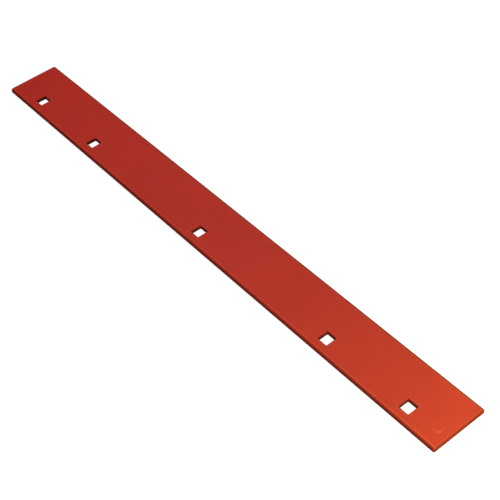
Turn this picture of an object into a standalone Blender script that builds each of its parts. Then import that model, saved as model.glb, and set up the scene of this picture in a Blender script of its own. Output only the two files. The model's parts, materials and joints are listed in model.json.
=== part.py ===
"""Wear bar of an ATV plow blade: the replaceable cutting edge that bolts along the blade's foot.

One flat steel bar, cut to length from stock and painted all over, with five square holes punched in
a row near one long edge. Each hole holds the square neck of a carriage bolt, so the bolt can't turn.
The long edges are rolled round, and the ends are cut square.

Frame: metres, +Z up. The bar lies flat on z = 0 with its length along X and its width along Y. The
origin is the centre of its underside. The bolt row is on the -Y side, and the +Y edge scrapes.
"""

from math import cos, pi, sin, sqrt

import bmesh
import bpy
from mathutils import Matrix, Vector

MM = 0.001
INCH = 0.0254

# Driving dimensions.
BAR_LENGTH = 50 * INCH
BAR_WIDTH = 4.5 * INCH
BAR_THICKNESS = 3 / 8 * INCH
BAR_CORNER_RADIUS = 2.5 * MM

HOLE_SIZE = 7 / 8 * INCH  # across the flats of the square, where the punch shears it clean
HOLE_CORNER_RADIUS = 1.6 * MM
BOLT_ROW_INSET = 29.5 * MM  # from the bolted long edge to the middle of the holes
INNER_HOLE_STATION = 14 * INCH  # from the bar's middle
OUTER_HOLE_STATION = 21.625 * INCH

# The punch shears the upper part of a hole, and the rest breaks away wider, down into the die.
SHEARED_SHARE = 0.4
DIE_CLEARANCE = 0.35 * MM  # on each side of the hole, at the underside

FRONT_EDGE_RADIUS = 4.0 * MM  # the mill rounds the long edges, most towards the front face
BACK_EDGE_RADIUS = 2.0 * MM
CUT_RIM_RADIUS = 0.8 * MM  # at the ends and round the holes

CORNER_SEGMENTS = 4
ROLLED_EDGE_SEGMENTS = 5
CUT_RIM_SEGMENTS = 3
CUTTER_OVERRUN = 0.3 * MM

PAINT_COLOUR = (0.42, 0.026, 0.014, 1.0)
PAINT_ROUGHNESS = 0.50


def clear_scene():
    """Remove every object, so that the script can be run again in the same file."""
    for thing in list(bpy.data.objects):
        bpy.data.objects.remove(thing, do_unlink=True)


def new_collection(name):
    """A fresh collection linked to the scene."""
    old = bpy.data.collections.get(name)
    if old is not None:
        bpy.data.collections.remove(old)
    collection = bpy.data.collections.new(name)
    bpy.context.scene.collection.children.link(collection)
    return collection


def paint_material():
    """Orange-red powder coat over steel."""
    material = bpy.data.materials.new("plow_paint")
    material.use_nodes = True
    shader = material.node_tree.nodes["Principled BSDF"]
    shader.inputs["Base Color"].default_value = PAINT_COLOUR
    shader.inputs["Roughness"].default_value = PAINT_ROUGHNESS
    shader.inputs["Metallic"].default_value = 0.0
    return material


def add_object(name, form, collection):
    """Turn a bmesh into a named object in the collection."""
    mesh = bpy.data.meshes.new(name)
    form.to_mesh(mesh)
    form.free()
    thing = bpy.data.objects.new(name, mesh)
    collection.objects.link(thing)
    return thing


def rounded_block(length, width, low, high, corner_radius):
    """A block from z = low to z = high, centred on the Z axis, with its upright corners rounded."""
    form = bmesh.new()
    size = Matrix.Diagonal(Vector((length, width, high - low, 1.0)))
    place = Matrix.Translation(Vector((0.0, 0.0, (low + high) / 2)))
    bmesh.ops.create_cube(form, size=1.0, matrix=place @ size)
    upright = [e for e in form.edges if e.verts[0].co.xy == e.verts[1].co.xy]
    bmesh.ops.bevel(
        form,
        geom=upright,
        offset=corner_radius,
        offset_type="OFFSET",
        segments=CORNER_SEGMENTS,
        profile=0.5,
        affect="EDGES",
    )
    return form


def widen(verts, along_x, along_y):
    """Move a ring of points out by these amounts on its sides."""
    for vert in verts:
        vert.co.x += along_x if vert.co.x > 0 else -along_x
        vert.co.y += along_y if vert.co.y > 0 else -along_y


def stack(length, width, corner_radius, rows):
    """A closed form of rounded rectangles, one for each row, from the lowest up.

    A row is a height, and how much wider than the given size the form is there on each X side and
    on each Y side.
    """
    form = rounded_block(length, width, rows[0][0], rows[1][0], corner_radius)
    rings = [[v for v in form.verts if abs(v.co.z - row[0]) < 1e-7] for row in rows[:2]]
    top = [face for face in form.faces if face.normal.z > 0.9]
    for height, _, _ in rows[2:]:
        grown = bmesh.ops.extrude_face_region(form, geom=top)["geom"]
        bmesh.ops.delete(form, geom=top, context="FACES")
        top = [item for item in grown if isinstance(item, bmesh.types.BMFace)]
        ring = [item for item in grown if isinstance(item, bmesh.types.BMVert)]
        for vert in ring:
            vert.co.z = height
        rings.append(ring)
    for ring, (_, along_x, along_y) in zip(rings, rows):
        widen(ring, along_x, along_y)
    bmesh.ops.recalc_face_normals(form, faces=form.faces)
    return form


def quarter_turn(radius, segments):
    """A rounded edge from its side to its face, as rises and insets."""
    turns = [pi / 2 * step / segments for step in range(segments + 1)]
    return [(radius * sin(t), radius * (1 - cos(t))) for t in turns]


def inset(depth, radius):
    """How far a rounded edge lies in at a depth below its face."""
    left = max(0.0, radius - depth)
    return radius - sqrt(radius * radius - left * left)


def edge_depths(long_radius):
    """Depths below a face of the rows that round the cut ends and the rolled long edges."""
    cut = quarter_turn(CUT_RIM_RADIUS, CUT_RIM_SEGMENTS)
    rolled = quarter_turn(long_radius, ROLLED_EDGE_SEGMENTS)[:-1]
    return sorted([CUT_RIM_RADIUS - up for up, _ in cut] + [long_radius - up for up, _ in rolled])


def blank_rows():
    """The bar before punching: heights, with the insets of its ends and of its long edges."""
    rows = []
    for depth in edge_depths(BACK_EDGE_RADIUS):
        rows.append((depth, -inset(depth, CUT_RIM_RADIUS), -inset(depth, BACK_EDGE_RADIUS)))
    for depth in reversed(edge_depths(FRONT_EDGE_RADIUS)):
        height = BAR_THICKNESS - depth
        rows.append((height, -inset(depth, CUT_RIM_RADIUS), -inset(depth, FRONT_EDGE_RADIUS)))
    return rows


def hole_rows():
    """A punched hole from the underside up, as heights and how far it lies off the sheared wall.

    Each rim is a quarter turn, whose last chord carries on past the bar's face.
    """
    rim = quarter_turn(CUT_RIM_RADIUS, CUT_RIM_SEGMENTS)
    rise = rim[-1][0] - rim[-2][0]
    reach = rim[-1][1] - rim[-2][1]
    overrun_reach = CUTTER_OVERRUN * reach / rise
    rim[-1] = (CUT_RIM_RADIUS + CUTTER_OVERRUN, CUT_RIM_RADIUS + overrun_reach)

    break_height = (1 - SHEARED_SHARE) * BAR_THICKNESS
    lower = [(CUT_RIM_RADIUS - up, DIE_CLEARANCE + out) for up, out in reversed(rim)]
    upper = [(BAR_THICKNESS - CUT_RIM_RADIUS + up, out) for up, out in rim]
    return [(height, out, out) for height, out in lower + [(break_height, 0.0)] + upper]


def hole_cutter(name, station, collection):
    """The space that one punched hole takes, with its rims."""
    form = stack(HOLE_SIZE, HOLE_SIZE, HOLE_CORNER_RADIUS, hole_rows())
    cutter = add_object(name, form, collection)
    cutter.location = (station, BOLT_ROW_INSET - BAR_WIDTH / 2, 0.0)
    cutter.hide_render = True
    cutter.display_type = "WIRE"
    return cutter


def hole_stations():
    """Where the holes lie along X, from one end to the other."""
    one_side = (INNER_HOLE_STATION, OUTER_HOLE_STATION)
    return sorted([-x for x in one_side] + [0.0] + list(one_side))


def cut_by(target, cutter):
    """Take the cutter's space out of the target."""
    cut = target.modifiers.new("punch_" + cutter.name, "BOOLEAN")
    cut.operation = "DIFFERENCE"
    cut.solver = "EXACT"
    cut.object = cutter


def wear_bar(collection, cutters):
    """The bar with its row of square holes."""
    blank = stack(BAR_LENGTH, BAR_WIDTH, BAR_CORNER_RADIUS, blank_rows())
    bar = add_object("wear_bar", blank, collection)
    bar.data.materials.append(paint_material())
    for number, station in enumerate(hole_stations(), start=1):
        cut_by(bar, hole_cutter(f"hole_{number}", station, cutters))
    return bar


def build():
    """Make the whole object."""
    clear_scene()
    model = new_collection("atv_plow_wear_bar")
    cutters = new_collection("cutters")
    wear_bar(model, cutters)


build()
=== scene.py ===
"""Looks of the ATV plow blade's wear bar: its fine surface, its powder coat, a white table and light.

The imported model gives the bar's box and the places of its bolt holes. One piece, coated_bar, replaces
the plain CAD node. Lengths are in metres, in the CAD's frame: X along the bar, Y across it, Z up.
"""

import json
from math import atan2, cos, exp, hypot, pi, radians, sin, sqrt

import bmesh
import bpy
from mathutils import Matrix, Vector, noise


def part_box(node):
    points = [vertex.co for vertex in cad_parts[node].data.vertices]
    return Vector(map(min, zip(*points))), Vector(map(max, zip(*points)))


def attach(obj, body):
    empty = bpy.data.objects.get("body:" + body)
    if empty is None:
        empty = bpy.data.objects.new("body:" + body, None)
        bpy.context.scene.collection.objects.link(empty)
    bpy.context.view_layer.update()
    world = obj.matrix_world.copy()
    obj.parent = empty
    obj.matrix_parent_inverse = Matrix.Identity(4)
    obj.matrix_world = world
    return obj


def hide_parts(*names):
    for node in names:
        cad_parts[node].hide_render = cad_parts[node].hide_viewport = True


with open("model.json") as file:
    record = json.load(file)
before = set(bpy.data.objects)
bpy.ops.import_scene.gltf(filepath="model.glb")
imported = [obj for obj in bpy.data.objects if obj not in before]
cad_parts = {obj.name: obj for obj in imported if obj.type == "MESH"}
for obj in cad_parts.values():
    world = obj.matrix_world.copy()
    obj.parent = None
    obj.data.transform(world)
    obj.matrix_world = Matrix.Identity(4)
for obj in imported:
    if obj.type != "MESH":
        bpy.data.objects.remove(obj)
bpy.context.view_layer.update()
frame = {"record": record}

MM = 0.001
INCH = 0.0254

# The bar's own shape. Its length, width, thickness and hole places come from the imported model.
CORNER_RADIUS = 2.5 * MM
HOLE_HALF = 7 / 16 * INCH
HOLE_CORNER_RADIUS = 1.6 * MM
FRONT_EDGE_RADIUS = 4.0 * MM  # the mill rounds the long edges, most towards the front face
BACK_EDGE_RADIUS = 2.0 * MM
CUT_RIM_RADIUS = 0.8 * MM
END_DRAFT = 0.25 * MM  # a sheared end slopes in towards the back face
DRAFT_SHARE = 0.7  # of the thickness, down which the slope grows to that amount

# A punch drags the front face down round its hole, shears the wall clean, then tears the rest.
ROLL_REACH = 0.9 * MM
ROLL_DEPTH = 0.5 * MM
SHEARED_SHARE = 0.4
DIE_CLEARANCE = 0.25 * MM
BACK_RIM = 0.3 * MM
TORN_DEPTH = 0.06 * MM
TORN_LENGTH = 1.4 * MM
TORN_SEED = 1  # with a seed, the tear is the same in every run
CUT_WALL_LIMIT = 1.1 * DIE_CLEARANCE  # the points of a cut wall lie this near to its sheared part

# Powder coat gathers in a low bead along the edges, and rolled plate is never quite flat.
BEAD_HEIGHT = 0.10 * MM
END_BEAD_INSET = 3.0 * MM
LONG_BEAD_INSET = 4.6 * MM
BEAD_WIDTH = 1.8 * MM
WAVE_DEPTH = 0.05 * MM
WAVE_LENGTH = 160 * MM

# A painted highlight: the paint is lightest along a narrow crest, this far in from the ends, long edges
# and hole walls.
END_CREST = 2.4 * MM
LONG_CREST = 4.8 * MM
HOLE_CREST = 2.2 * MM
HOLE_CREST_SHARE = 0.5
CREST_WIDTH = 1.0 * MM

# Painted shade: the paint darkens towards the sides and round the holes, from this far in.
END_RIM = 3.4 * MM
BOLTED_RIM = 5.0 * MM
SCRAPING_RIM = 9.0 * MM
HOLE_RIM = 2.2 * MM
HOLE_RIM_SHARE = 0.7

# A round witness mark is pressed into the front face near the right end, deepest on one side.
MARK_FROM_END = 25.5 * MM
MARK_FROM_BOLTED_EDGE = 34.5 * MM
MARK_RADIUS = 8.5 * MM
MARK_GROOVE_WIDTH = 1.5 * MM
MARK_GROOVE_DEPTH = 0.38 * MM
MARK_DEEP_SIDE = radians(-50)  # from +X, towards +Y
MARK_SHALLOW_SHARE = 0.06
MARK_FADE_POWER = 5  # how fast the groove fades away from its deep side
MARK_DISH_DEPTH = 0.08 * MM
MARK_REACH = MARK_RADIUS + 3 * MARK_GROOVE_WIDTH  # the groove has died away at this distance

# The mesh. Each hole sits in a square patch of the grid, and loops lead from the patch to the hole.
# Others lead through the border strip to the outline. The shares say how far along each loop lies.
PATCH_HALF = 20 * MM
GRID_SPACING = 10 / 3 * MM
CORNER_STEPS = 4
RIM_STEPS = 5
ROLLED_EDGE_STEPS = 7
BACK_RIM_STEPS = 3
WALL_ROWS = 6
PATCH_SHARES = (0.3, 0.55, 0.75, 0.9, 1.0)
BORDER_SHARES = (0.3, 0.52, 0.68, 0.8, 0.9, 1.0)
MARK_CUTS = 3
SAME_PLACE = 1e-7  # coordinates closer than this count as one

low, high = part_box("wear_bar")
HALF_LENGTH = (high.x - low.x) / 2
HALF_WIDTH = (high.y - low.y) / 2
THICKNESS = high.z - low.z


def hole_centres():
    """The middle of each bolt hole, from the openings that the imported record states."""
    centres = []
    for opening in frame["record"]["physics"]["openings"]:
        corner, far_corner = opening["box_m"]
        centres.append(((corner[0] + far_corner[0]) / 2, (corner[1] + far_corner[1]) / 2))
    return sorted(centres)


HOLES = hole_centres()
BOLT_ROW = HOLES[0][1]
BORDER = HALF_WIDTH + BOLT_ROW - PATCH_HALF  # the strip between the grid and the outline
MARK = (HALF_LENGTH - MARK_FROM_END, MARK_FROM_BOLTED_EDGE - HALF_WIDTH)


def smooth(value):
    """0 below 0, 1 above 1, and an even turn between."""
    t = min(1.0, max(0.0, value))
    return t * t * (3 - 2 * t)


def bell(value):
    """1 at 0, falling to nothing either side."""
    return exp(-value * value)


# ------------------------------------------------------------------ plan of the bar
def grid_lines(stops):
    """Coordinates that pass through every stop, about one spacing apart."""
    lines = [stops[0]]
    for start, end in zip(stops, stops[1:]):
        count = max(1, round((end - start) / GRID_SPACING))
        lines += [start + (end - start) * step / count for step in range(1, count + 1)]
    return lines


def span(lines, start, end):
    """The indexes of the grid lines from one coordinate to another."""
    return [i for i, line in enumerate(lines) if start - SAME_PLACE <= line <= end + SAME_PLACE]


INNER_X = HALF_LENGTH - BORDER
INNER_Y = HALF_WIDTH - BORDER
PATCH_EDGES = [x + side * PATCH_HALF for x, _ in HOLES for side in (-1, 1)]
X_LINES = grid_lines([-INNER_X] + PATCH_EDGES + [INNER_X])
Y_LINES = grid_lines([-INNER_Y, BOLT_ROW + PATCH_HALF, INNER_Y])
PATCH_COLUMNS = [span(X_LINES, x - PATCH_HALF, x + PATCH_HALF) for x, _ in HOLES]
PATCH_ROWS = span(Y_LINES, -INNER_Y, BOLT_ROW + PATCH_HALF)


def in_patch(i, j, margin):
    """Whether grid line i, j starts a cell of a patch (margin 0), or lies inside one (margin 1)."""
    if not PATCH_ROWS[0] + margin <= j < PATCH_ROWS[-1]:
        return False
    return any(columns[0] + margin <= i < columns[-1] for columns in PATCH_COLUMNS)


def block_border(columns, rows):
    """Grid indexes round a block of the grid, anticlockwise from its low corner."""
    south = [(i, rows[0]) for i in columns[:-1]]
    east = [(columns[-1], j) for j in rows[:-1]]
    north = [(i, rows[-1]) for i in reversed(columns[1:])]
    west = [(columns[0], j) for j in reversed(rows[1:])]
    return south + east + north + west


def rounded_side(lines, half, radius):
    """One side of a rounded rectangle: each point's place along it, and how far in it lies.

    It has a point for each grid line. Those next to a corner turn half of it.
    """
    last = len(lines) - 1
    first_straight, last_straight = lines[CORNER_STEPS], lines[last - CORNER_STEPS]
    points = []
    for i, line in enumerate(lines):
        from_corner = min(i, last - i)
        if from_corner > CORNER_STEPS:
            share = (line - first_straight) / (last_straight - first_straight)
            points.append(((half - radius) * (2 * share - 1), 0.0))
            continue
        turn = radians(45 + 45 * from_corner / CORNER_STEPS)
        along = half - radius + radius * cos(turn)
        points.append((-along if i < last / 2 else along, radius * (1 - sin(turn))))
    return points


def rounded_loop(x_lines, y_lines, half_x, half_y, radius):
    """A rounded rectangle round the origin, anticlockwise from its low corner."""
    along_x = rounded_side(x_lines, half_x, radius)
    along_y = rounded_side(y_lines, half_y, radius)
    south = [(a, d - half_y) for a, d in along_x[:-1]]
    east = [(half_x - d, a) for a, d in along_y[:-1]]
    north = [(a, half_y - d) for a, d in reversed(along_x[1:])]
    west = [(d - half_x, a) for a, d in reversed(along_y[1:])]
    return south + east + north + west


def outline(end_inset, long_inset):
    """The bar's outline, moved in by these amounts at its ends and along its long edges."""
    half_x, half_y = HALF_LENGTH - end_inset, HALF_WIDTH - long_inset
    return rounded_loop(X_LINES, Y_LINES, half_x, half_y, CORNER_RADIUS)


def hole_outline(number, growth):
    """The outline of one hole, this much wider on each side than its sheared wall."""
    x, y = HOLES[number]
    x_lines = [X_LINES[i] for i in PATCH_COLUMNS[number]]
    y_lines = [Y_LINES[j] for j in PATCH_ROWS]
    half = HOLE_HALF + growth
    loop = rounded_loop(x_lines, y_lines, half, half, HOLE_CORNER_RADIUS + growth)
    return [(x + dx, y + dy) for dx, dy in loop]


# ------------------------------------------------------------------ heights of the faces
def edge_distance(x, y):
    """How far a point of the plan lies inside the outline."""
    return min(HALF_LENGTH - abs(x), HALF_WIDTH - abs(y))


def hole_distance(x, y):
    """How far a point of the plan lies from the nearest hole's wall."""
    return min(max(abs(x - hx), abs(y - hy)) for hx, hy in HOLES) - HOLE_HALF


def mark_groove(x, y):
    """The share of its full depth that the witness mark's round groove has at a point."""
    reach = hypot(x - MARK[0], y - MARK[1])
    turn = atan2(y - MARK[1], x - MARK[0]) - MARK_DEEP_SIDE
    facing = (0.5 + 0.5 * cos(turn)) ** MARK_FADE_POWER
    bite = MARK_SHALLOW_SHARE + (1 - MARK_SHALLOW_SHARE) * facing
    return bite * bell((reach - MARK_RADIUS) / MARK_GROOVE_WIDTH)


def mark_depth(x, y):
    """How far the witness mark presses the front face in."""
    dish = 1 - smooth(hypot(x - MARK[0], y - MARK[1]) / MARK_RADIUS)
    return MARK_GROOVE_DEPTH * mark_groove(x, y) + MARK_DISH_DEPTH * dish


def face_sink(x, y):
    """How far the flat of a face lies below the bead along its edges."""
    from_end = HALF_LENGTH - abs(x) - END_BEAD_INSET
    from_side = HALF_WIDTH - abs(y) - LONG_BEAD_INSET
    beyond_bead = min(from_end, from_side) / BEAD_WIDTH
    wave = 0.5 + 0.5 * noise.noise(Vector((x, 2 * y, 0.0)) / WAVE_LENGTH)
    bead = 1.0 if beyond_bead < 0 else bell(beyond_bead)
    return (BEAD_HEIGHT + WAVE_DEPTH * wave) * (1 - bead)


def front_height(x, y):
    """Where the front face lies, with the witness mark in it."""
    return THICKNESS - face_sink(x, y) - mark_depth(x, y)


def back_height(x, y):
    """Where the back face lies. The bar rests on the bead round it."""
    return face_sink(-x, y)


# ------------------------------------------------------------------ the bar's mesh
def bridge(form, one, other):
    """Faces between two closed loops with as many points."""
    for i, vert in enumerate(one):
        form.faces.new((one[i - 1], vert, other[i], other[i - 1]))


def loops_towards(form, start, target, shares, height):
    """Loops from one closed loop of vertices to a target outline, on a face. Returns the last."""
    previous = start
    for share in shares:
        current = []
        for vert, goal in zip(start, target):
            x, y = vert.co.xy.lerp(Vector(goal), share)
            current.append(form.verts.new((x, y, height(x, y))))
        bridge(form, previous, current)
        previous = current
    return previous


def add_face(form, height, rim, hole_growth):
    """One face of the bar: its grid, the loops round each hole and the strip out to the rim.

    Returns the loop along the outline and the loop round each hole.
    """
    grid = {}
    for i, x in enumerate(X_LINES):
        for j, y in enumerate(Y_LINES):
            if not in_patch(i, j, margin=1):
                grid[i, j] = form.verts.new((x, y, height(x, y)))
    for i in range(len(X_LINES) - 1):
        for j in range(len(Y_LINES) - 1):
            if not in_patch(i, j, margin=0):
                cell = ((i, j), (i + 1, j), (i + 1, j + 1), (i, j + 1))
                form.faces.new([grid[key] for key in cell])

    hole_loops = []
    for number, columns in enumerate(PATCH_COLUMNS):
        border = [grid[key] for key in block_border(columns, PATCH_ROWS)]
        goal = hole_outline(number, hole_growth)
        hole_loops.append(loops_towards(form, border, goal, PATCH_SHARES, height))

    whole = block_border(list(range(len(X_LINES))), list(range(len(Y_LINES))))
    border = [grid[key] for key in whole]
    outer_loop = loops_towards(form, border, rim, BORDER_SHARES, height)
    return outer_loop, hole_loops


def quarter_turn(reach, depth, steps):
    """A rounded edge from its face to its side, as distances out from the side and down."""
    turns = [pi / 2 * step / steps for step in range(1, steps + 1)]
    return [(reach * (1 - sin(t)), depth * (1 - cos(t))) for t in turns]


TEAR_HEIGHT = THICKNESS * (1 - SHEARED_SHARE)


def tear(x, y, z):
    """A point of a cut wall, shifted sideways where the steel tore, below the sheared part."""
    share = smooth((TEAR_HEIGHT - z) / MM)
    shift = noise.noise_vector(Vector((x, y, z)) / TORN_LENGTH) * TORN_DEPTH * share
    return x + shift.x, y + shift.y, z


def rounding(below_face, radius):
    """How far an edge, rounded by this radius, lies in at a distance below its face."""
    left = max(0.0, 1 - below_face / radius)
    return radius * (1 - sqrt(1 - left * left))


def side_insets(z):
    """How far the outer side lies in at a height: at the sheared ends, and along the long edges."""
    below_face = min(z, THICKNESS - z)
    draft = END_DRAFT * smooth((THICKNESS - z) / THICKNESS / DRAFT_SHARE)
    end_inset = draft + rounding(below_face, CUT_RIM_RADIUS)
    radius = FRONT_EDGE_RADIUS if z > THICKNESS / 2 else BACK_EDGE_RADIUS
    return end_inset, TORN_DEPTH + rounding(below_face, radius)


def join_loops(form, first, rings, last):
    """A wall from one loop of vertices to another, through rings of points."""
    previous = first
    for points in rings:
        current = [form.verts.new(point) for point in points]
        bridge(form, previous, current)
        previous = current
    bridge(form, previous, last)


def edge_depths(long_radius):
    """Depths below a face at which both the cut ends and the rounded long edges get their rings."""
    cut = [depth for _, depth in quarter_turn(CUT_RIM_RADIUS, CUT_RIM_RADIUS, RIM_STEPS)]
    rolled = quarter_turn(long_radius, long_radius, ROLLED_EDGE_STEPS)
    return sorted(cut + [depth for _, depth in rolled if depth > CUT_RIM_RADIUS])


def side_heights():
    """Heights of the rings on the outer side, from the front face down."""
    front, back = edge_depths(FRONT_EDGE_RADIUS), edge_depths(BACK_EDGE_RADIUS)
    top, bottom = THICKNESS - max(front), max(back)
    land = [top + (bottom - top) * row / WALL_ROWS for row in range(1, WALL_ROWS)]
    return [THICKNESS - depth for depth in front] + land + list(reversed(back))


def outer_rings():
    """Rings down the bar's outer side, between the outlines of its two faces."""
    for z in side_heights():
        yield [tear(x, y, z) for x, y in outline(*side_insets(z))]


def hole_rings(number, front_heights):
    """Rings down one hole's wall: the rolled-in edge, the sheared part, the tear and the back rim."""
    for out, down in quarter_turn(ROLL_REACH, ROLL_DEPTH, RIM_STEPS):
        yield [(x, y, z - down) for (x, y), z in zip(hole_outline(number, out), front_heights)]
    rows = [(TEAR_HEIGHT, 0.0)]
    for step in range(1, WALL_ROWS + 1):
        share = step / WALL_ROWS
        rows.append((TEAR_HEIGHT + (BACK_RIM - TEAR_HEIGHT) * share, DIE_CLEARANCE * share))
    for out, down in reversed(quarter_turn(BACK_RIM, BACK_RIM, BACK_RIM_STEPS)[:-1]):
        rows.append((down, DIE_CLEARANCE + out))
    for z, growth in rows:
        yield [tear(x, y, z) for x, y in hole_outline(number, growth)]


def refine_mark(form):
    """Finer faces where the witness mark is pressed in, set to its shape.

    The faces just outside get extra corners on their sides, so they are split into triangles.
    """
    near = []
    for edge in form.edges:
        middle = (edge.verts[0].co + edge.verts[1].co) / 2
        beside = max(abs(middle.x - MARK[0]), abs(middle.y - MARK[1])) < MARK_REACH
        if beside and middle.z > THICKNESS / 2:
            near.append(edge)
    made = bmesh.ops.subdivide_edges(form, edges=near, cuts=MARK_CUTS, use_grid_fill=True)
    for item in made["geom_inner"]:
        if isinstance(item, bmesh.types.BMVert):
            item.co.z = front_height(item.co.x, item.co.y)
    bordering = [face for face in form.faces if len(face.verts) > 4]
    bmesh.ops.triangulate(form, faces=bordering, ngon_method="BEAUTY")


def edge_reach(point):
    """How far a point of the surface lies from the nearest edge, in millimetres."""
    beside = min(edge_distance(point.x, point.y), hole_distance(point.x, point.y))
    inward = min(point.z, THICKNESS - point.z)
    return max(beside, inward, 0.0) / MM


def tear_share(point):
    """1 on the torn part of a cut wall, 0 elsewhere."""
    beside = min(HALF_LENGTH - abs(point.x), hole_distance(point.x, point.y))
    on_wall = beside < CUT_WALL_LIMIT
    return smooth((TEAR_HEIGHT - point.z) / MM) if on_wall and point.z > 0 else 0.0


def hole_shade_share(point):
    """Painted shade down a hole's wall: 1 there, 0 elsewhere."""
    on_wall = hole_distance(point.x, point.y) < CUT_WALL_LIMIT
    return smooth((THICKNESS - ROLL_DEPTH - point.z) / MM) if on_wall and point.z > 0 else 0.0


def glint_share(point):
    """How deep a point lies in the witness mark's groove, which places a painted glint: 1 where it is
    deepest.
    """
    return mark_groove(point.x, point.y) if point.z > THICKNESS / 2 else 0.0


def painted_highlight_share(point):
    """Where the paint is lightened as a painted highlight: 1 on the crest that runs along an outer
    edge.
    """
    beyond_ends = HALF_LENGTH - abs(point.x) - END_CREST
    beyond_sides = HALF_WIDTH - abs(point.y) - LONG_CREST
    beyond_hole = hole_distance(point.x, point.y) - HOLE_CREST
    outer_crest = bell(min((beyond_ends, beyond_sides), key=abs) / CREST_WIDTH)
    return max(outer_crest, HOLE_CREST_SHARE * bell(beyond_hole / CREST_WIDTH))


def edge_shade_share(point):
    """Painted shade towards the cut and rolled sides and round the holes: 1 on an outer side, 0 well
    away.
    """
    end_share = smooth(1 - (HALF_LENGTH - abs(point.x)) / END_RIM)
    bolted_share = smooth(1 - (HALF_WIDTH + point.y) / BOLTED_RIM)
    scraping_share = smooth(1 - (HALF_WIDTH - point.y) / SCRAPING_RIM)
    hole_share = HOLE_RIM_SHARE * smooth(1 - hole_distance(point.x, point.y) / HOLE_RIM)
    return max(end_share, bolted_share, scraping_share, hole_share)


def store(mesh, name, measure):
    """A point attribute from a function of place, for the paint to read."""
    attribute = mesh.attributes.new(name, "FLOAT", "POINT")
    attribute.data.foreach_set("value", [measure(vert.co) for vert in mesh.vertices])


def coated_bar():
    """The bar as one closed mesh."""
    form = bmesh.new()
    front_rim, back_rim = outline(*side_insets(THICKNESS)), outline(*side_insets(0.0))
    front_loop, front_holes = add_face(form, front_height, front_rim, ROLL_REACH)
    back_loop, back_holes = add_face(form, back_height, back_rim, DIE_CLEARANCE + BACK_RIM)
    join_loops(form, front_loop, outer_rings(), back_loop)
    for number, (front_hole, back_hole) in enumerate(zip(front_holes, back_holes)):
        heights = [vert.co.z for vert in front_hole]
        join_loops(form, front_hole, hole_rings(number, heights), back_hole)
    refine_mark(form)
    bmesh.ops.recalc_face_normals(form, faces=form.faces)

    mesh = bpy.data.meshes.new("coated_bar")
    form.to_mesh(mesh)
    form.free()
    mesh.shade_smooth()
    # The paint reads these: edge_reach and tear for thin paint and painted shade, crest for a painted
    # highlight, wall and rim for painted shade, mark for a painted glint.
    store(mesh, "edge_reach", edge_reach)
    store(mesh, "tear", tear_share)
    store(mesh, "wall", hole_shade_share)
    store(mesh, "mark", glint_share)
    store(mesh, "crest", painted_highlight_share)
    store(mesh, "rim", edge_shade_share)
    bar = bpy.data.objects.new("coated_bar", mesh)
    bpy.context.scene.collection.objects.link(bar)
    return bar


# ------------------------------------------------------------------ the powder coat
class Nodes:
    """Short calls that add and link shader nodes."""

    def __init__(self, tree):
        self.tree = tree
        tree.nodes.clear()

    def add(self, kind, inputs=None, **settings):
        """A node with these settings, and its inputs set to values or linked to sockets."""
        node = self.tree.nodes.new(kind)
        for name, value in settings.items():
            setattr(node, name, value)
        for name, value in (inputs or {}).items():
            if isinstance(value, bpy.types.NodeSocket):
                self.tree.links.new(value, node.inputs[name])
            else:
                node.inputs[name].default_value = value
        return node

    def noise(self, place, scale, detail, roughness=0.5):
        """Noise values from 0 to 1, at this many cells a metre."""
        inputs = {"Vector": place, "Scale": scale, "Detail": detail, "Roughness": roughness}
        return self.add("ShaderNodeTexNoise", inputs).outputs["Fac"]

    def remap(self, value, source, target):
        """A value moved from one range to another, and kept inside it."""
        inputs = {"Value": value}
        inputs["From Min"], inputs["From Max"] = source
        inputs["To Min"], inputs["To Max"] = target
        return self.add("ShaderNodeMapRange", inputs).outputs["Result"]

    def math(self, operation, first, second):
        """Two values put together."""
        return self.add("ShaderNodeMath", {0: first, 1: second}, operation=operation).outputs[0]

    def mix(self, factor, first, second):
        """A blend of two colours."""
        node = self.add("ShaderNodeMix", data_type="RGBA")
        for name, value in (("Factor_Float", factor), ("A_Color", first), ("B_Color", second)):
            socket = next(s for s in node.inputs if s.identifier == name)
            if isinstance(value, bpy.types.NodeSocket):
                self.tree.links.new(value, socket)
            else:
                socket.default_value = value
        return next(s for s in node.outputs if s.identifier == "Result_Color")

    def attribute(self, name):
        """A point attribute of the mesh."""
        return self.add("ShaderNodeAttribute", attribute_name=name).outputs["Fac"]

    def coat(self, colour, paint, name, strength):
        """The colour with a paint over it, where a point attribute says and at most this strong."""
        share = self.math("MULTIPLY", self.attribute(name), strength)
        return self.mix(share, colour, paint)

    def bump(self, height, distance, normal=None):
        """A normal tilted by a height field."""
        inputs = {"Height": height, "Distance": distance, "Strength": 1.0}
        if normal is not None:
            inputs["Normal"] = normal
        return self.add("ShaderNodeBump", inputs).outputs["Normal"]


# Linear colours: two depths of the cloudy paint, a lighter paint for grain and a painted highlight, a
# darker one for thin paint and painted shade, a near black for painted shade in the holes, and a light
# one for a painted glint.
PAINT_DEEP = (0.370, 0.0160, 0.0094, 1.0)
PAINT_MAIN = (0.418, 0.0190, 0.0108, 1.0)
PAINT_GRAIN_AND_HIGHLIGHT = (0.490, 0.0400, 0.0180, 1.0)
PAINT_THIN_AND_SHADE = (0.150, 0.0125, 0.0085, 1.0)
PAINT_HOLE_SHADE = (0.050, 0.0060, 0.0050, 1.0)
PAINT_GLINT = (0.620, 0.0850, 0.0500, 1.0)

# How much of one paint shows over another: a share, or a range of a noise and the shares at its ends.
CLOUD_COVER = ((0.3, 0.7), (0.2, 1.0))
GRAIN_COVER = ((0.35, 0.75), (0.0, 0.25))
HIGHLIGHT_COVER = 0.85
EDGE_COVER = ((0.2, 1.1), (0.65, 0.0))  # here the first range is the millimetres from an edge
EDGE_SHADE_COVER = 0.72
TORN_COVER = 0.4
HOLE_SHADE_COVER = 0.35
GLINT_COVER = ((0.35, 0.6), (0.15, 0.75))

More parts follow.
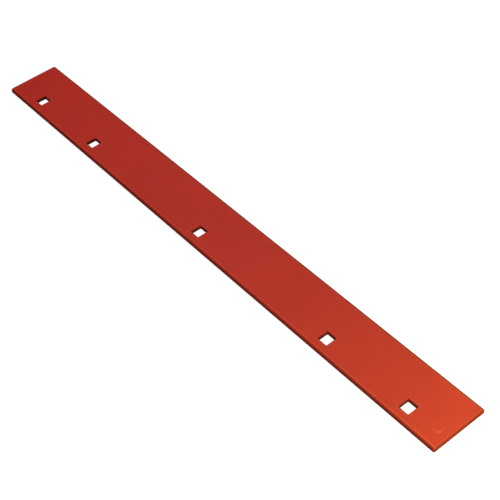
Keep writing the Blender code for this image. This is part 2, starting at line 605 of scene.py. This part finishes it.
# The noises in the paint, in cells a metre, and the heights of the two that are bumps.
CLOUD_SCALE = 9
STREAK_SCALE = 45
GLINT_SCALE = 260
PEEL_SCALE = 330
GRAIN_SCALE = 650
PIT_SCALE = 1500
PEEL_HEIGHT = 0.035 * MM
PIT_HEIGHT = 0.006 * MM

STREAK_ROUGHNESS = ((0.3, 0.7), (0.50, 0.58))  # a range of the noise, and the roughness at its ends
TORN_ROUGHNESS = 0.2  # added to that of the streaks
SPECULAR_LEVEL = 0.09


def powder_coat():
    """Orange-red powder coat: cloudy colour, fine grain, orange peel, thin paint and painted shade on
    every edge, painted shade in the holes, a painted highlight along the edges and a painted glint in
    the witness mark.
    """
    material = bpy.data.materials.new("powder_coat")
    material.use_nodes = True
    nodes = Nodes(material.node_tree)
    place = nodes.add("ShaderNodeTexCoord").outputs["Object"]

    clouds = nodes.noise(place, CLOUD_SCALE, detail=3, roughness=0.55)
    grain = nodes.noise(place, GRAIN_SCALE, detail=2, roughness=0.6)
    glint_noise = nodes.noise(place, GLINT_SCALE, detail=1)
    on_edge = nodes.remap(nodes.attribute("edge_reach"), *EDGE_COVER)
    colour = nodes.mix(nodes.remap(clouds, *CLOUD_COVER), PAINT_DEEP, PAINT_MAIN)
    colour = nodes.mix(nodes.remap(grain, *GRAIN_COVER), colour, PAINT_GRAIN_AND_HIGHLIGHT)
    # Painted highlight: lighter paint along a crest inside the outer edges and round the holes.
    colour = nodes.coat(colour, PAINT_GRAIN_AND_HIGHLIGHT, "crest", HIGHLIGHT_COVER)
    # Darker within about a millimetre of every edge: partly thin paint, partly painted shade.
    colour = nodes.mix(on_edge, colour, PAINT_THIN_AND_SHADE)
    # Painted shade towards the ends, the long sides and round the holes.
    colour = nodes.coat(colour, PAINT_THIN_AND_SHADE, "rim", EDGE_SHADE_COVER)
    # Darker on the torn part of each cut wall: partly thin paint on torn steel, partly painted shade in
    # the holes.
    colour = nodes.coat(colour, PAINT_THIN_AND_SHADE, "tear", TORN_COVER)
    # Painted shade: near black down each hole's wall.
    colour = nodes.coat(colour, PAINT_HOLE_SHADE, "wall", HOLE_SHADE_COVER)
    # Painted glint: light paint in the witness mark's groove, strongest where it is deepest.
    painted_glint = nodes.remap(glint_noise, *GLINT_COVER)
    colour = nodes.coat(colour, PAINT_GLINT, "mark", painted_glint)

    streaks = nodes.noise(place, STREAK_SCALE, detail=2)
    roughness = nodes.remap(streaks, *STREAK_ROUGHNESS)
    torn_roughness = nodes.math("MULTIPLY", nodes.attribute("tear"), TORN_ROUGHNESS)
    roughness = nodes.math("ADD", roughness, torn_roughness)

    peel = nodes.noise(place, PEEL_SCALE, detail=2, roughness=0.45)
    pits = nodes.noise(place, PIT_SCALE, detail=1)
    normal = nodes.bump(pits, PIT_HEIGHT)
    normal = nodes.bump(peel, PEEL_HEIGHT, normal)

    inputs = {"Base Color": colour, "Roughness": roughness, "Normal": normal}
    shader = nodes.add("ShaderNodeBsdfPrincipled", inputs)
    shader.inputs["Specular IOR Level"].default_value = SPECULAR_LEVEL
    nodes.add("ShaderNodeOutputMaterial", {"Surface": shader.outputs["BSDF"]})
    return material


# ------------------------------------------------------------------ the studio
CAMERA_LENS = 84.3  # millimetres, on a 36 mm sensor
CAMERA_AZIMUTH = radians(55.62)  # from looking along +Y, towards looking along -X
CAMERA_ELEVATION = radians(45.49)
CAMERA_ROLL = radians(6.85)
CAMERA_DISTANCE = 2.148
CAMERA_AIM = Vector((0.0966, 0.0151, 0.0))
CAMERA_RANGE = 50.0  # nothing farther off is rendered

TABLE_RADIUS = 7.0
TABLE_SWEEP = 2.0  # radius of the sweep from the floor up into the wall
TABLE_WALL = 5.0  # the wall's height
TABLE_GAP = 0.05 * MM  # under the bar
TABLE_SWEEP_STEPS = 12
TABLE_TURN_STEPS = 96
TABLE_WELD = 1e-5  # the ends of the full turn meet within this
TABLE_GLOW = 0.86
TABLE_COLOUR = (0.25, 0.25, 0.25, 1.0)
WHITE = (1.0, 1.0, 1.0, 1.0)
ROOM_LIGHT = 0.08


def add_camera():
    """The camera, from its aim on the table, its direction, distance and roll."""
    data = bpy.data.cameras.new("camera")
    data.lens = CAMERA_LENS
    data.clip_end = CAMERA_RANGE
    camera = bpy.data.objects.new("camera", data)
    bpy.context.scene.collection.objects.link(camera)
    flat = cos(CAMERA_ELEVATION)
    back = Vector((sin(CAMERA_AZIMUTH) * flat, -cos(CAMERA_AZIMUTH) * flat, sin(CAMERA_ELEVATION)))
    turn = back.to_track_quat("Z", "Y") @ Matrix.Rotation(-CAMERA_ROLL, 3, "Z").to_quaternion()
    camera.location = CAMERA_AIM + back * CAMERA_DISTANCE
    camera.rotation_mode = "QUATERNION"
    camera.rotation_quaternion = turn
    bpy.context.scene.camera = camera


def glowing_white():
    """White acrylic lit from below, so bright that hardly any shadow shows on it."""
    material = bpy.data.materials.new("light_table")
    material.use_nodes = True
    shader = material.node_tree.nodes["Principled BSDF"]
    shader.inputs["Base Color"].default_value = TABLE_COLOUR
    shader.inputs["Roughness"].default_value = 1.0
    shader.inputs["Specular IOR Level"].default_value = 0.0
    shader.inputs["Emission Color"].default_value = WHITE
    shader.inputs["Emission Strength"].default_value = TABLE_GLOW
    return material


def add_table():
    """A round pale floor that sweeps up into a wall. It lights nothing and blocks no light."""
    profile = [(0.0, 0.0), (TABLE_RADIUS - TABLE_SWEEP, 0.0)]
    for step in range(1, TABLE_SWEEP_STEPS + 1):
        turn = pi / 2 * step / TABLE_SWEEP_STEPS
        out = TABLE_RADIUS - TABLE_SWEEP * (1 - sin(turn))
        profile.append((out, TABLE_SWEEP * (1 - cos(turn))))
    profile.append((TABLE_RADIUS, TABLE_WALL))

    form = bmesh.new()
    verts = [form.verts.new((x, 0.0, z)) for x, z in profile]
    edges = [form.edges.new(pair) for pair in zip(verts, verts[1:])]
    bmesh.ops.spin(
        form,
        geom=verts + edges,
        axis=(0.0, 0.0, 1.0),
        cent=(0.0, 0.0, 0.0),
        angle=2 * pi,
        steps=TABLE_TURN_STEPS,
    )
    bmesh.ops.remove_doubles(form, verts=form.verts, dist=TABLE_WELD)
    bmesh.ops.recalc_face_normals(form, faces=form.faces)
    mesh = bpy.data.meshes.new("light_table")
    form.to_mesh(mesh)
    form.free()
    mesh.shade_smooth()
    mesh.materials.append(glowing_white())
    table = bpy.data.objects.new("light_table", mesh)
    bpy.context.scene.collection.objects.link(table)
    table.location.z = -TABLE_GAP
    table.visible_diffuse = False
    table.visible_glossy = False
    table.visible_shadow = False


def add_softbox(name, place, aim, size, power, colour):
    """A rectangular soft light that points from its place at its aim. Returns it."""
    data = bpy.data.lights.new(name, "AREA")
    data.shape = "RECTANGLE"
    data.size, data.size_y = size
    data.energy = power
    data.color = colour
    light = bpy.data.objects.new(name, data)
    bpy.context.scene.collection.objects.link(light)
    light.location = place
    light.rotation_mode = "QUATERNION"
    light.rotation_quaternion = (Vector(aim) - Vector(place)).to_track_quat("-Z", "Y")
    light.visible_camera = False
    return light


def add_lights():
    """A small tinted key over the near end, a broad light above, and two low fills.

    The broad light stands a little behind the bar, so that the scraping edge is lit. The fills stand
    off the near end and off the bolted side, and give no highlights. The room adds a little light.
    """
    add_softbox(
        "key",
        place=(0.86, 0.0, 0.37),
        aim=(0.56, 0.0, 0.0),
        size=(0.4, 0.4),
        power=2.4,
        colour=(1.0, 2.4, 0.75),
    )
    add_softbox(
        "overhead",
        place=(-0.5, 0.5, 1.55),
        aim=(-0.5, 0.0, 0.0),
        size=(2.3, 0.4),
        power=25.3,
        colour=(1.0, 1.0, 1.0),
    )
    end_fill = add_softbox(
        "end_fill",
        place=(3.2, 0.0, 0.28),
        aim=(0.6, 0.0, 0.0),
        size=(1.0, 0.3),
        power=70.0,
        colour=(1.0, 0.75, 0.5),
    )
    side_fill = add_softbox(
        "side_fill",
        place=(1.9, -2.1, 0.6),
        aim=(0.6, 0.0, 0.0),
        size=(1.0, 0.35),
        power=38.0,
        colour=(1.0, 0.9, 0.9),
    )
    end_fill.visible_glossy = False
    side_fill.visible_glossy = False
    world = bpy.data.worlds.new("room")
    world.use_nodes = True
    background = world.node_tree.nodes["Background"]
    background.inputs["Color"].default_value = WHITE
    background.inputs["Strength"].default_value = ROOM_LIGHT
    bpy.context.scene.world = world


# ------------------------------------------------------------------ putting it together
add_camera()
add_lights()
add_table()
bpy.context.scene.view_settings.view_transform = "Standard"

noise.seed_set(TORN_SEED)
bar = coated_bar()
bar.data.materials.append(powder_coat())
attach(bar, "root")
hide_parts("wear_bar")
